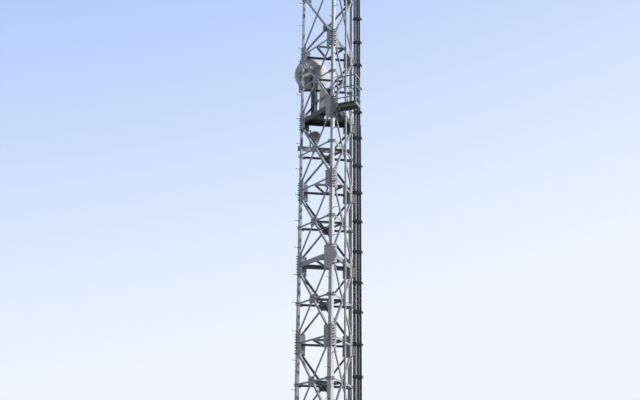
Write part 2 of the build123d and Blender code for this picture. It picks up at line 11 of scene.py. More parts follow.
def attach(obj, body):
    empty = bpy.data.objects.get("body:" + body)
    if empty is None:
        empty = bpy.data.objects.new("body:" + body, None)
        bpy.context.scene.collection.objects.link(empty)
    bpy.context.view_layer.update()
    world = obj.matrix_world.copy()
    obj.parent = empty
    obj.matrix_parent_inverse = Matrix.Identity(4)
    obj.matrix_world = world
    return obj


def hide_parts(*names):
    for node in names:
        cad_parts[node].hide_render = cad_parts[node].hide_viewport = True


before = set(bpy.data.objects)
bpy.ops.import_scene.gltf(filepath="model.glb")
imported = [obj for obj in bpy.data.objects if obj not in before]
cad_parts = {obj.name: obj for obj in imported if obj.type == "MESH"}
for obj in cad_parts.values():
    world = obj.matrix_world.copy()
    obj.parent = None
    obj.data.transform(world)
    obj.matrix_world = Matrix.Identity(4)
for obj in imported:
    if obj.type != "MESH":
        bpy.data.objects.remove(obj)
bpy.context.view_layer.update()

# Root of two, and cosines and a sine that are rounded as in the model
ROOT2 = math.sqrt(2.0)
COS_30 = 0.8660
SIN_15 = 0.2588
COS_15 = 0.9659

# Straight to the front, and a turn that lays +Z along +X
FRONT = Vector((0, -1, 0))
ACROSS = Matrix.Rotation(math.pi / 2, 4, "Y")

# Layout of the mast, as in the model
BAY = 2.5
BAYS = 6
BASE_RISE = 0.2
TOP_STUB = 0.25
R_HEEL = 1.015
AXIS_Y = 0.96
TURNS = {"near": 0.0, "right": 120.0, "left": 240.0}
FACE_TURNS = {"left": -150.0, "right": -30.0, "back": 90.0}
HEEL_X = COS_30 * R_HEEL
HEEL_Y = AXIS_Y + R_HEEL / 2


def level(k):
    return BASE_RISE + k * BAY


def mid_level(k):
    return level(k) + BAY / 2


TOP_Z = level(BAYS) + TOP_STUB

# Leg angles and the plates on them
SPLICE_LEVELS = (1, 3, 5)
LEG_SIZES = ((0.140, 0.014), (0.120, 0.012), (0.100, 0.010), (0.090, 0.009))
GUSSET_T = 0.010
GUSSET_HEIGHTS = (0.680, 0.680, 0.660, 0.600, 0.600, 0.580, 0.580)
TAB_H = 0.110
COVER_LEVELS = (2, 4)
COVER_UP = 0.240
COVER_DOWN = 0.475
COVER_POINT = 0.170

# Bracing of the faces
HEAVY_LEVELS = (0, 2, 4, 6)
WORK_X = 0.925
BRACE_T = 0.006
BRACE_END_IN = 0.045
FACE_OUT = R_HEEL / 2 + SIN_15 * LEG_SIZES[0][0]
TIP_X = COS_30 * R_HEEL - COS_15 * LEG_SIZES[0][0]
BRACE_END_X = TIP_X - BRACE_END_IN

# Steps for climbing
STEP_FIRST = 0.400
STEP_PITCH = 0.900
STEP_LENGTH = 0.150

# Cable ladder beside the right leg: places are distances out from the leg's heel
CLEAR = 0.0003
LADDER_LOW = 0.150
RAILS_AT = (0.106, 0.210)
RAIL_DEPTH = 0.042
CABLES_AT = (0.062, 0.158, 0.254)
CABLE_R = 0.0205
RUNGS_AT = (0.22, 0.63, 1.03, 1.44, 1.82, 2.23, 2.64, 3.04, 3.42, 3.83, 4.21, 4.57, 4.93, 5.29, 5.67, 6.04)
CLAMP_T = 0.013
CLAMP_FRONT = -RAIL_DEPTH - CLEAR - CLAMP_T
ARM_T = 0.008
ARM_DOWN = (0.0, 0.290, 0.290, 0.290, 0.290, 0.110, 0.110)

# Climbing rail, platform and landing
PIPE_OUT = 0.062
PIPE_R = 0.034
PLATFORM_LEVEL = 4
DECK_UP = 0.07
DECK_Z = level(PLATFORM_LEVEL) + DECK_UP
HATCH = Vector((0.070, AXIS_Y + 0.080, DECK_Z))
LANDING_OUT = 0.705
LANDING_FROM = -0.775
LANDING_TO = -0.330

# Gear on the platform: the pole's place is a distance to the right of the left leg's heel
GEAR_POLE_FROM_LEG = 0.389
GEAR_POLE = Vector((GEAR_POLE_FROM_LEG - HEEL_X, AXIS_Y + 0.040, 0))
RADIO_UP = 1.290
RADIO_Z = DECK_Z + RADIO_UP
RADIO_H = 0.530
CABINET = Vector((-0.220, AXIS_Y - 0.230, DECK_Z))

# Large dish: its pole and arms stay where the model has them, and the dish itself is placed anew
DISH_LEVEL = 5
MODEL_DISH_FROM_LEG = (0.236, 0.5425)
MODEL_DISH_BELOW = 0.370
# The model's pole stands this far behind its dish, along X and along Y
POLE_BEHIND = 0.2369
POLE_X = MODEL_DISH_FROM_LEG[0] - HEEL_X - POLE_BEHIND
POLE_Y = HEEL_Y + MODEL_DISH_FROM_LEG[1] - POLE_BEHIND
DISH_POLE = Vector((POLE_X, POLE_Y, 0))
POLE_CLAMPS_Z = level(DISH_LEVEL) - MODEL_DISH_BELOW
DISH_FROM_LEG = (0.445, 0.5325)
DISH_BELOW = 0.355
DISH_AT = Vector((DISH_FROM_LEG[0] - HEEL_X, HEEL_Y + DISH_FROM_LEG[1], level(DISH_LEVEL) - DISH_BELOW))
DISH_TURN = math.radians(100.0)
DISH_R = 0.600
DISH_BULGE = 0.190

# Small dish, on a pole on the beam of the back face
BEAM_BELOW = 0.913
BEAM_Z = level(PLATFORM_LEVEL) - BEAM_BELOW
BEAM_T = 0.008
SMALL_POLE_FROM_LEG = 0.349
SMALL_POLE_OUT = 0.034
SMALL_POLE = Vector((SMALL_POLE_FROM_LEG - HEEL_X, AXIS_Y + FACE_OUT + SMALL_POLE_OUT, BEAM_Z))
SMALL_DISH_UP = 0.563

# Camera: below and in front of the mast, looking up at its upper part
SENSOR = 36.0
FOCAL_PIXELS = 950.0
PHOTO_WIDTH = 640.0
CAM_AT = (-3.870217, -27.121379, -3.568963)
CAM_RIGHT = Vector((0.99112278, -0.13240800, 0.01198940))
CAM_UP = Vector((-0.05849547, -0.35331711, 0.93367301))


def set_camera():
    data = bpy.data.cameras.new("camera")
    data.sensor_width = SENSOR
    data.lens = SENSOR * FOCAL_PIXELS / PHOTO_WIDTH
    data.clip_end = 500.0
    camera = bpy.data.objects.new("camera", data)
    bpy.context.scene.collection.objects.link(camera)
    bpy.context.scene.camera = camera
    axes = Matrix((CAM_RIGHT, CAM_UP, CAM_RIGHT.cross(CAM_UP))).transposed()
    camera.matrix_world = Matrix.Translation(CAM_AT) @ axes.to_4x4()


set_camera()


# Shader sums
class Sock:
    """A shader socket that takes part in Python sums."""

    def __init__(self, tree, socket):
        self.tree = tree
        self.socket = socket

    def math(self, operation, *values, clamp=False):
        settings = {"operation": operation, "use_clamp": clamp}
        return self.tree.node("ShaderNodeMath", settings, dict(enumerate(values)))

    def __add__(self, other):
        return self.math("ADD", self, other)

    __radd__ = __add__

    def __mul__(self, other):
        return self.math("MULTIPLY", self, other)

    __rmul__ = __mul__

    def __sub__(self, other):
        return self.math("SUBTRACT", self, other)

    def __rsub__(self, other):
        return self.math("SUBTRACT", other, self)

    def __truediv__(self, other):
        return self.math("DIVIDE", self, other)

    def __rtruediv__(self, other):
        return self.math("DIVIDE", other, self)

    def clip(self):
        return self.math("ADD", self, 0.0, clamp=True)

    def above(self, low, high):
        # 0 under low, 1 over high, with a soft ramp between.
        return self.tree.node(
            "ShaderNodeMapRange",
            {"interpolation_type": "SMOOTHSTEP"},
            {"Value": self, "From Min": low, "From Max": high},
        )


class Nodes:
    """A node tree under construction."""

    def __init__(self, tree):
        self.tree = tree
        self.tree.nodes.clear()

    def node(self, kind, settings=None, values=None, out=0):
        made = self.tree.nodes.new(kind)
        for key, value in (settings or {}).items():
            setattr(made, key, value)
        for key, value in (values or {}).items():
            socket = made.inputs[key]
            if isinstance(value, Sock):
                self.tree.links.new(value.socket, socket)
            else:
                socket.default_value = value
        return Sock(self, made.outputs[out]) if made.outputs else made

    def part(self, vector, index):
        return self.node("ShaderNodeSeparateXYZ", {}, {"Vector": vector}, out=index)

    def mix(self, share, a, b):
        def full(c):
            return c if isinstance(c, Sock) else (*c, 1.0)

        return self.node(
            "ShaderNodeMix",
            {"data_type": "RGBA", "clamp_factor": True},
            {0: share, 6: full(a), 7: full(b)},
            out=2,
        )

    def background_rays(self):
        # 1 for rays that show the backdrop: straight from the camera, off gloss, or through glass.
        return sum(self.node("ShaderNodeLightPath", out=kind) for kind in (0, 3, 6)).clip()


class Finish(Nodes):
    """A material under construction."""

    def __init__(self, name):
        self.mat = bpy.data.materials.new(name)
        self.mat.use_nodes = True
        super().__init__(self.mat.node_tree)

    def place(self, scale=(1, 1, 1), turn=(0, 0, 0)):
        spot = self.node("ShaderNodeTexCoord", out=3)
        return self.node("ShaderNodeMapping", {}, {"Vector": spot, "Scale": scale, "Rotation": turn})

    def noise(self, size, scale=(1, 1, 1), detail=3.0):
        return self.node(
            "ShaderNodeTexNoise",
            {},
            {"Vector": self.place(scale), "Scale": 1.0 / size, "Detail": detail, "Roughness": 0.55},
        )

    def cells(self, size):
        cell = self.node("ShaderNodeTexVoronoi", {}, {"Vector": self.place(), "Scale": 1.0 / size}, out=1)
        return self.node("ShaderNodeSeparateColor", {}, {"Color": cell})

    def bump(self, height, distance, strength):
        return self.node("ShaderNodeBump", {}, {"Height": height, "Distance": distance, "Strength": strength})

    def skin(self, **values):
        names = {key.replace("_", " ").title().replace("Ior", "IOR"): v for key, v in values.items()}
        shader = self.node("ShaderNodeBsdfPrincipled", {}, names)
        self.node("ShaderNodeOutputMaterial", {}, {"Surface": shader})
        return self.mat


# Kinds of finish
ZINC_METALLIC = 0.08
ZINC_SPECULAR = 0.3
# Painted shade at the platform's deck: its near-black colour, and the heights where the band fades in and out
DECK_SHADE_COLOUR = (0.050, 0.050, 0.052)
DECK_SHADE_STARTS = (DECK_Z - 0.17, DECK_Z - 0.13)
DECK_SHADE_ENDS = (DECK_Z + 0.01, DECK_Z + 0.06)
DIRT = (0.25, 0.24, 0.22)


def galvanised(name, light, dark, rough=0.52, cell=0.018, streaks=0.5, deck_shade=0.0):
    # Hot-dip zinc: spangle, soft clouds, long rain streaks, and where asked a painted shade band at the
    # platform's deck.
    f = Finish(name)
    spangle = f.cells(cell)
    clouds = f.noise(0.35, detail=4.0)
    runs = f.noise(0.05, scale=(1, 1, 0.06), detail=2.0).above(0.45, 0.75)
    patches = f.noise(1.3, scale=(1, 1, 0.5), detail=2.0).above(0.35, 0.7)
    tone = spangle * 0.22 + clouds * 0.45 + patches * 0.33
    base = f.mix(tone, dark, light)
    streaked_and_shaded = f.mix(runs * streaks * patches, base, tuple(0.62 * c for c in dark))
    if deck_shade:
        # Painted shade: the steel goes near black in a band at the platform's deck and just under it.
        z = f.part(f.place(), 2)
        band = z.above(*DECK_SHADE_STARTS) * (1.0 - z.above(*DECK_SHADE_ENDS))
        streaked_and_shaded = f.mix(band * (deck_shade - clouds * 0.25), streaked_and_shaded, DECK_SHADE_COLOUR)
    return f.skin(
        base_color=streaked_and_shaded,
        metallic=ZINC_METALLIC,
        roughness=spangle * 0.10 + clouds * 0.16 + (rough - 0.13),
        specular_ior_level=ZINC_SPECULAR,
        normal=f.bump(spangle * 0.4 + clouds * 0.6, 0.0012, 0.5),
    )


def painted(name, light, dark, rough=0.42, dirty=0.5):
    # Sprayed paint: faint orange peel, dull patches, and dirt that rain has drawn down.
    f = Finish(name)
    peel = f.noise(0.006, detail=1.0)
    clouds = f.noise(0.22, detail=4.0)
    runs = f.noise(0.03, scale=(1, 1, 0.08), detail=3.0).above(0.5, 0.8)
    base = f.mix(clouds.above(0.3, 0.7), dark, light)
    return f.skin(
        base_color=f.mix(runs * dirty, base, DIRT),
        roughness=clouds * 0.2 + (rough - 0.1),
        normal=f.bump(peel, 0.0006, 0.35),
    )


def jacket(name, light, dark):
    # Cable jacket: black, a little dusty, with faint rings of the corrugated core.
    f = Finish(name)
    dust = f.noise(0.08, scale=(1, 1, 0.35), detail=4.0).above(0.45, 0.75)
    rings = f.node(
        "ShaderNodeTexWave",
        {"wave_type": "BANDS", "bands_direction": "Z"},
        {"Vector": f.place(), "Scale": 18.0, "Distortion": 0.0},
        out=1,
    )
    return f.skin(
        base_color=f.mix(dust, dark, light),
        roughness=dust * 0.2 + 0.6,
        specular_ior_level=0.1,
        normal=f.bump(rings, 0.0012, 0.4),
    )


def chequer(name, light, dark):
    # Chequer plate: raised bars set at right angles to each other, a little paler than the plate.
    f = Finish(name)
    bars = []
    for turn, shift in ((45.0, 0.0), (-45.0, 0.5)):
        spot = f.place(turn=(0, 0, math.radians(turn)))
        along = f.part(spot, 0) * 22.0 + shift
        across = f.part(spot, 1) * 44.0 + shift
        along = along.math("PINGPONG", along, 0.5)
        across = across.math("PINGPONG", across, 0.5)
        bars.append(along.above(0.22, 0.30) * across.above(0.30, 0.38))
    raised = (bars[0] + bars[1]).clip()
    base = f.mix(f.noise(0.25, detail=4.0), dark, light)
    return f.skin(
        base_color=f.mix(raised * 0.35, base, light),
        metallic=ZINC_METALLIC,
        specular_ior_level=ZINC_SPECULAR,
        roughness=0.62 - raised * 0.16,
        normal=f.bump(raised, 0.003, 0.8),
    )


def moulded(name, light, dark, rough):
    # Moulded plastic or stretched cover: fine grain and soft clouds.
    f = Finish(name)
    grain = f.noise(0.004, detail=2.0)
    clouds = f.noise(0.12)
    return f.skin(
        base_color=f.mix(clouds, dark, light),
        roughness=clouds * 0.2 + (rough - 0.1),
        normal=f.bump(grain, 0.0005, 0.4),
    )


# Finishes of this mast
leg_steel = galvanised("leg_steel", (0.76, 0.78, 0.80), (0.62, 0.64, 0.67), streaks=0.4)
# Painted shade: a darker copy of the leg steel, for the left leg
shaded_leg_steel = galvanised("left_leg_in_painted_shade", (0.54, 0.57, 0.61), (0.40, 0.43, 0.47))
brace_steel = galvanised("bracing_steel", (0.56, 0.58, 0.61), (0.42, 0.44, 0.47), cell=0.014, deck_shade=0.95)
# Painted shade: a darker copy of the bracing steel, for the back face, the plan bracing and the deck's joists
shaded_brace_steel = galvanised(
    "bracing_steel_in_painted_shade", (0.29, 0.30, 0.32), (0.19, 0.20, 0.22), cell=0.014, deck_shade=0.8
)
rail_steel = galvanised("rail_steel", (0.31, 0.30, 0.29), (0.20, 0.19, 0.19), rough=0.5, streaks=0.6)
arm_steel = galvanised("arm_steel", (0.46, 0.43, 0.41), (0.31, 0.28, 0.27), cell=0.014, streaks=0.8)
gusset_steel = galvanised("gusset_steel", (0.52, 0.54, 0.58), (0.38, 0.40, 0.44), cell=0.022)
plate_steel = galvanised("plate_steel", (0.56, 0.58, 0.61), (0.42, 0.44, 0.47), cell=0.022)
# Painted shade: a darker, bluer copy of the plate steel, for the cover plates on the near leg and their bolts
shaded_cover_steel = galvanised("shaded_cover_steel", (0.39, 0.42, 0.48), (0.30, 0.33, 0.38), cell=0.022)
# Painted shade: bolts, nuts and small fittings are darker than the steel round them, standing in for the
# shade at each bolt
shaded_bolt_steel = galvanised("shaded_bolt_steel", (0.30, 0.31, 0.33), (0.17, 0.18, 0.20), cell=0.008, streaks=0.2)
ladder_steel = galvanised("ladder_steel", (0.56, 0.56, 0.56), (0.40, 0.40, 0.40), cell=0.014)
tube_steel = galvanised("tube_steel", (0.58, 0.60, 0.62), (0.42, 0.44, 0.46), cell=0.012)
deck_steel = chequer("deck_steel", (0.22, 0.22, 0.23), (0.13, 0.135, 0.14))
cable_black = jacket("cable_jacket", (0.030, 0.027, 0.027), (0.009, 0.009, 0.010))
clamp_black = moulded("clamp_black", (0.022, 0.022, 0.024), (0.008, 0.008, 0.010), rough=0.75)
dish_white = painted("dish_white", (0.87, 0.87, 0.85), (0.78, 0.78, 0.76), dirty=0.2)
dish_back = painted("dish_back_white", (0.87, 0.87, 0.85), (0.80, 0.80, 0.78), rough=0.75, dirty=0.2)
radome_white = moulded("radome_white", (0.80, 0.80, 0.77), (0.70, 0.70, 0.67), rough=0.6)
unit_grey = painted("radio_unit_grey", (0.42, 0.43, 0.45), (0.34, 0.35, 0.37), dirty=0.3)
cabinet_grey = painted("cabinet_grey", (0.55, 0.54, 0.53), (0.44, 0.43, 0.42), dirty=0.35)
black_paint = painted("black_paint", (0.035, 0.035, 0.037), (0.018, 0.018, 0.020), rough=0.5, dirty=0.1)

FINISHES = {
    leg_steel: "near_leg right_leg",
    shaded_leg_steel: "left_leg",
    brace_steel: "left_bracing right_bracing antenna_beam",
    shaded_brace_steel: "back_bracing plan_bracing",
    gusset_steel: "leg_gussets leg_tabs",
    shaded_cover_steel: "node_covers",
    plate_steel: "base_plates base_ribs crossing_plates climbing_rail_blocks large_dish_hub "
    "large_dish_arms radio_plate small_dish_mount",
    tube_steel: "left_step_bolts near_step_bolts climbing_rail guard_posts guard_rails "
    "large_dish_pole radio_pole small_dish_pole",
    rail_steel: "cable_ladder_rails",
    arm_steel: "cable_ladder_arms",
    ladder_steel: "cable_ladder_bars landing_frame",
    deck_steel: "platform_deck landing_floor",
    cable_black: "feeder_cables radio_cables",
    clamp_black: "cable_clamps",
    dish_white: "large_dish_shroud small_dish",
    dish_back: "large_dish_reflector",
    radome_white: "large_dish_radome",
    unit_grey: "radio_unit",
    cabinet_grey: "cabinet",
}


def dress_nodes():
    for finish, names in FINISHES.items():
        for name in names.split():
            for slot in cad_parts[name].material_slots:
                slot.material = finish


dress_nodes()


# Making pieces
def at(x, y, z):
    return Matrix.Translation((x, y, z))


def pointing(spot, out, turn=0.0):
    # Place at a spot, with +Z along a direction.
    aim = Vector(out).to_track_quat("Z", "Y").to_matrix().to_4x4()
    return Matrix.Translation(spot) @ aim @ Matrix.Rotation(turn, 4, "Z")


def around(centre, z, toward):
    # Place on an upright pole, with +X towards a heading.
    return at(centre.x, centre.y, z) @ Matrix.Rotation(math.radians(toward), 4, "Z")


def in_ring(radius, count, first=0.0):
    # Places at equal steps round the Z axis.
    angles = [math.radians(first + 360.0 / count * i) for i in range(count)]
    return [at(radius * math.cos(a), radius * math.sin(a), 0) for a in angles]


def piece(name, bm, finish):
    bmesh.ops.recalc_face_normals(bm, faces=bm.faces)
    mesh = bpy.data.meshes.new(name)
    bm.to_mesh(mesh)
    bm.free()
    mesh.materials.append(finish)
    obj = bpy.data.objects.new(name, mesh)
    bpy.context.scene.collection.objects.link(obj)
    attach(obj, "root")
    return obj


def joined(name, template, places, finish):
    # One mesh of a small template set at many places.
    shape = bpy.data.meshes.new(name + "_template")
    template.to_mesh(shape)
    template.free()
    bm = bmesh.new()
    for place in places:
        copy = shape.copy()
        copy.transform(place)
        bm.from_mesh(copy)
        bpy.data.meshes.remove(copy)
    bpy.data.meshes.remove(shape)
    return piece(name, bm, finish)


def rod(bm, radius, low, high, sides, place=Matrix.Identity(4), top=None):
    # A bar along Z, tapered where its top has another radius.
    bmesh.ops.create_cone(
        bm,
        cap_ends=True,
        segments=sides,
        radius1=radius,
        radius2=radius if top is None else top,
        depth=high - low,
        matrix=place @ at(0, 0, (low + high) / 2),
    )


def block(bm, low, high, place=Matrix.Identity(4)):
    # A box between two corners.
    low, high = Vector(low), Vector(high)
    size = Matrix.Diagonal((*(high - low), 1.0))
    bmesh.ops.create_cube(bm, size=1.0, matrix=place @ Matrix.Translation((low + high) / 2) @ size)


def soften(bm, edges, offset):
    bmesh.ops.bevel(bm, geom=edges, offset=offset, affect="EDGES", segments=2, profile=0.5, material=-1)


def turned_on_axis(profile, place, steps):
    # Profile points are (distance from the axis, height along it).
    bm = bmesh.new()
    verts = [bm.verts.new((r, 0, h)) for r, h in profile]
    edges = [bm.edges.new(pair) for pair in zip(verts, verts[1:] + verts[:1])]
    bmesh.ops.spin(
        bm,
        geom=verts + edges,
        cent=(0, 0, 0),
        axis=(0, 0, 1),
        angle=2 * math.pi,
        steps=steps,
        use_merge=True,
    )
    bmesh.ops.remove_doubles(bm, verts=bm.verts[:], dist=0.00002)
    bmesh.ops.dissolve_degenerate(bm, edges=bm.edges[:], dist=0.00001)
    loose = [e for e in bm.edges if not e.link_faces]
    bmesh.ops.delete(bm, geom=loose, context="EDGES")
    bm.transform(place)
    return bm


def smooth_by_angle(obj):
    obj.data.shade_smooth()
    obj.data.set_sharp_from_angle(angle=math.radians(35.0))


# Washers of bolts and steps
WASHER_T = 0.003

# Bolts: shares of the bolt's size, and turns that set heads and nuts apart
WASHER_R = 0.95
HEX_R = 0.87
HEAD_H = 0.62
NUT_H = 0.82
SHANK_R = 0.5
OUTER_TURN = 0.35
INNER_TURN = 0.8


def bolt_head(size):
    bm = bmesh.new()
    rod(bm, WASHER_R * size, 0.0, WASHER_T, 8)
    rod(bm, HEX_R * size, WASHER_T, WASHER_T + HEAD_H * size, 6)
    return bm


def nut_and_end(size, reach=1.5):
    # The shank's end stands proud of the nut, and its reach is a share of the size too.
    bm = bmesh.new()
    rod(bm, HEX_R * size, 0.0, NUT_H * size, 6)
    rod(bm, SHANK_R * size, NUT_H * size, reach * size, 6)
    return bm


def bolts(name, spots, size, nuts_out=False, reach=1.5, finish=shaded_bolt_steel):
    # Spots are (point on the outer surface, direction outwards, thickness that is clamped).
    outer = [pointing(p, n, OUTER_TURN) for p, n, grip in spots]
    inner = [pointing(p - n * grip, -n, INNER_TURN) for p, n, grip in spots]
    joined(name + "_heads", bolt_head(size), inner if nuts_out else outer, finish)
    joined(name + "_nuts", nut_and_end(size, reach), outer if nuts_out else inner, finish)


def u_bolt(radius, wire, reach):
    # A bent rod: the pole stands on Z, and the two legs run towards +X.
    def moved(faces, shift):
        grown = bmesh.ops.extrude_face_region(bm, geom=faces)["geom"]
        verts = [v for v in grown if isinstance(v, bmesh.types.BMVert)]
        bmesh.ops.translate(bm, verts=verts, vec=(shift, 0, 0))
        return [f for f in grown if isinstance(f, bmesh.types.BMFace)]

    bm = bmesh.new()
    bmesh.ops.create_circle(
        bm, cap_ends=True, segments=8, radius=wire, matrix=at(reach, radius, 0) @ ACROSS
    )
    at_bend = moved(bm.faces[:], -reach)
    bend = bmesh.ops.spin(bm, geom=at_bend, cent=(0, 0, 0), axis=(0, 0, 1), angle=math.pi, steps=10)
    past_bend = [f for f in bend["geom_last"] if isinstance(f, bmesh.types.BMFace)]
    moved(past_bend, reach)
    bmesh.ops.delete(bm, geom=at_bend + past_bend, context="FACES_ONLY")
    for side in (-1, 1):
        rod(bm, 1.7 * wire, reach - 2.4 * wire, reach - 0.6 * wire, 6, at(0, side * radius, 0) @ ACROSS)
    return bm


# Places on the legs, on the faces and beside the right leg
def leg_place(name):
    return at(0, AXIS_Y, 0) @ Matrix.Rotation(math.radians(TURNS[name]), 4, "Z")


def leg_size(z):
    return LEG_SIZES[sum(1 for k in SPLICE_LEVELS if z > level(k) + 0.001)]


def flange_spot(name, side, along, z, out=0.0):
    # A spot on a flange's outer surface, and the direction outwards from it.
    n = Vector((side / ROOT2, -1 / ROOT2, 0))
    p = Vector((side * along / ROOT2, along / ROOT2 - R_HEEL, z)) + n * out
    place = leg_place(name)
    return place @ p, place.to_3x3() @ n


def face_spot(face, x, z, out=0.0):
    a = math.radians(FACE_TURNS[face])
    n = Vector((math.cos(a), math.sin(a), 0))
    along = Vector((-math.sin(a), math.cos(a), 0))
    return Vector((0, AXIS_Y, z)) + n * (FACE_OUT + out) + along * x, n


def on_right_face(out, along, z):
    # Place with +X straight out from the right face.
    turn_out = Matrix.Rotation(math.radians(FACE_TURNS["right"]), 4, "Z")
    return Matrix.Translation(face_spot("right", along, z, out)[0]) @ turn_out


def beside_leg(u, v, z):
    return Vector((HEEL_X + u, HEEL_Y + v, z))


# Bolts of the gussets on the legs
LEG_BOLT = 0.024
LADDER_SIDE_BOLT = 0.022
GUSSET_PITCH = 0.085
TAB_BOLTS_DZ = (-0.028, 0.028)
FOOT_MARGIN = 0.02
TOP_MARGIN = 0.06
# Rows on a flange: share of its width, and a shift
FLANGE_ROWS = ((0.40, 0.012), (0.82, -0.004))


def gusset_spots(name, side, k):
    # Every second height has a second bolt, near the flange's edge.
    for i in range(-3, 5):
        z = level(k) + (i - 0.5) * GUSSET_PITCH
        if BASE_RISE + FOOT_MARGIN <= z <= TOP_Z - TOP_MARGIN:
            w, t = leg_size(z)
            for share, shift in FLANGE_ROWS[: 1 + i % 2]:
                yield *flange_spot(name, side, share * w + shift, z, GUSSET_T), GUSSET_T + t


def tab_spots(name, side, k):
    w, t = leg_size(mid_level(k))
    for dz in TAB_BOLTS_DZ:
        yield *flange_spot(name, side, 0.5 * w, mid_level(k) + dz, GUSSET_T), GUSSET_T + t


def leg_bolts():
    # Nuts are outside, apart from the side where the cable ladder needs the room.
    free_side, ladder_side = [], []
    for name in TURNS:
        spots_by_side = {-1: ladder_side if name == "right" else free_side, 1: free_side}
        for k in range(BAYS + 1):
            for side, spots in spots_by_side.items():
                spots += gusset_spots(name, side, k)
        for k in range(BAYS - 1):
            for side, spots in spots_by_side.items():
                spots += tab_spots(name, side, k)
    bolts("leg_bolts", free_side, LEG_BOLT, nuts_out=True, reach=2.4)
    bolts("ladder_side_bolts", ladder_side, LADDER_SIDE_BOLT)


# Bolts of the bracing in its gussets and crossing plates
FACE_BOLT = 0.016
BRACE_END_STEPS = (0.035, 0.095)
CROSSING_STEPS = (0.055, 0.115)
LEVEL_BAR_STEPS = (0.045, 0.105)
HEAVY_ROWS = (-0.035, 0.035)
MIDDLE_BAR_X = 0.12
TAB_IN = 0.035
BRACE_RISE = BAY * (WORK_X - BRACE_END_X) / (2 * WORK_X)
BRACE_SLOPE = Vector((2 * BRACE_END_X, BAY - 2 * BRACE_RISE)).normalized()


def brace_end_spots(k):
    # Two bolts in each end of the crossed bracing of a bay.
    end = Vector((BRACE_END_X, level(k) + BRACE_RISE))
    for step in BRACE_END_STEPS:
        for sx in (-1, 1):
            x = sx * (end.x - BRACE_SLOPE.x * step)
            yield x, end.y + BRACE_SLOPE.y * step
            yield x, 2 * mid_level(k) - end.y - BRACE_SLOPE.y * step


def crossing_spots(k):
    # Two bolts in each arm of a crossing.
    for step in CROSSING_STEPS:
        for sx in (-1, 1):
            for sz in (-1, 1):
                yield sx * BRACE_SLOPE.x * step, mid_level(k) + sz * BRACE_SLOPE.y * step


def level_bar_spots(k):
    # Two steps in from each end of a level angle, in two rows on a heavy one.
    for sx in (-1, 1):
        for step in LEVEL_BAR_STEPS:
            for dz in HEAVY_ROWS if k in HEAVY_LEVELS else (0.0,):
                yield sx * (TIP_X - step), level(k) + dz


def bracing_bolts():
    tab_x = TIP_X - TAB_IN
    found = []
    for face in FACE_TURNS:
        for k in range(BAYS):
            found += [(face, x, z) for x, z in brace_end_spots(k)]
            if k < BAYS - 1 or face == "back":
                found += [(face, x, z) for x, z in crossing_spots(k)]
            if k < BAYS - 1:
                found += [(face, x, mid_level(k)) for x in (-MIDDLE_BAR_X, MIDDLE_BAR_X, -tab_x, tab_x)]
        for k in range(BAYS + 1):
            found += [(face, x, z) for x, z in level_bar_spots(k)]
    spots = [(*face_spot(face, x, z, GUSSET_T), GUSSET_T + BRACE_T) for face, x, z in found]
    bolts("bracing_bolts", spots, FACE_BOLT)


# Bolts of the cover plates on the near leg: rows that keep inside the pointed right side
COVER_BOLT = 0.011
COVER_OUT = 0.012
COVER_COLUMNS = (-0.200, -0.125, -0.050, 0.025, 0.085)
COVER_PITCH = 0.095
COVER_EDGE = 0.030
EDGE_SLOPE_UP = 0.67
EDGE_SLOPE_DOWN = 0.44


def cover_bolts():
    spots = []
    for k in COVER_LEVELS:
        for x in COVER_COLUMNS:
            for i in range(-4, 3):
                dz = (i + 0.2) * COVER_PITCH
                edge = COVER_POINT - (EDGE_SLOPE_UP * dz if dz > 0 else -EDGE_SLOPE_DOWN * dz)
                if x < edge - COVER_EDGE:
                    p = Vector((x, AXIS_Y - R_HEEL - COVER_OUT, level(k) + dz))
                    spots.append((p, FRONT, GUSSET_T))
    bolts("cover_bolts", spots, COVER_BOLT, finish=shaded_cover_steel)


# Step bolts: a nut on each side of the flange, and a collar at the free end
STEPS_A_FLANGE = 17
# How far below and above the level of a cover plate no step stands, on either flange
STEPS_CLEAR_OF_COVER = {
    -1: (COVER_DOWN + 0.015, COVER_UP + 0.015),
    1: (COVER_DOWN / 2 - 0.050, COVER_UP / 2 + 0.010),
}
STEP_TOP_MARGIN = 0.150
STEP_ALONG = 0.55
STEP_WASHER_R = 0.019
STEP_NUT_R = 0.0155
STEP_NUT_TOP = 0.017
STEP_NUT_TURNS = (0.4, 0.7)
COLLAR_R = 0.0145
COLLAR_END_R = 0.0105
COLLAR_H = 0.012
COLLAR_TAPER = 0.003
PLATE_MARGIN = 0.008


def on_plate(z):
    near_level = min(range(BAYS + 1), key=lambda k: abs(z - level(k)))
    near_middle = min(range(BAYS - 1), key=lambda k: abs(z - mid_level(k)))
    on_gusset = abs(z - level(near_level)) < GUSSET_HEIGHTS[near_level] / 2 + PLATE_MARGIN
    return on_gusset or abs(z - mid_level(near_middle)) < TAB_H / 2 + PLATE_MARGIN


def step_spots(name):
    # Spots are (point on the flange, direction outwards, plate on the flange, flange's thickness).
    found = []
    for side, first in ((1, STEP_FIRST), (-1, STEP_FIRST + STEP_PITCH / 2)):
        down, up = STEPS_CLEAR_OF_COVER[side]
        for i in range(STEPS_A_FLANGE):
            z = first + i * STEP_PITCH
            covered = name == "near" and any(-down < z - level(k) < up for k in COVER_LEVELS)
            if z < TOP_Z - STEP_TOP_MARGIN and not covered:
                w, t = leg_size(z)
                p, n = flange_spot(name, side, STEP_ALONG * w, z)
                found.append((p, n, GUSSET_T if on_plate(z) else 0.0, t))
    return found


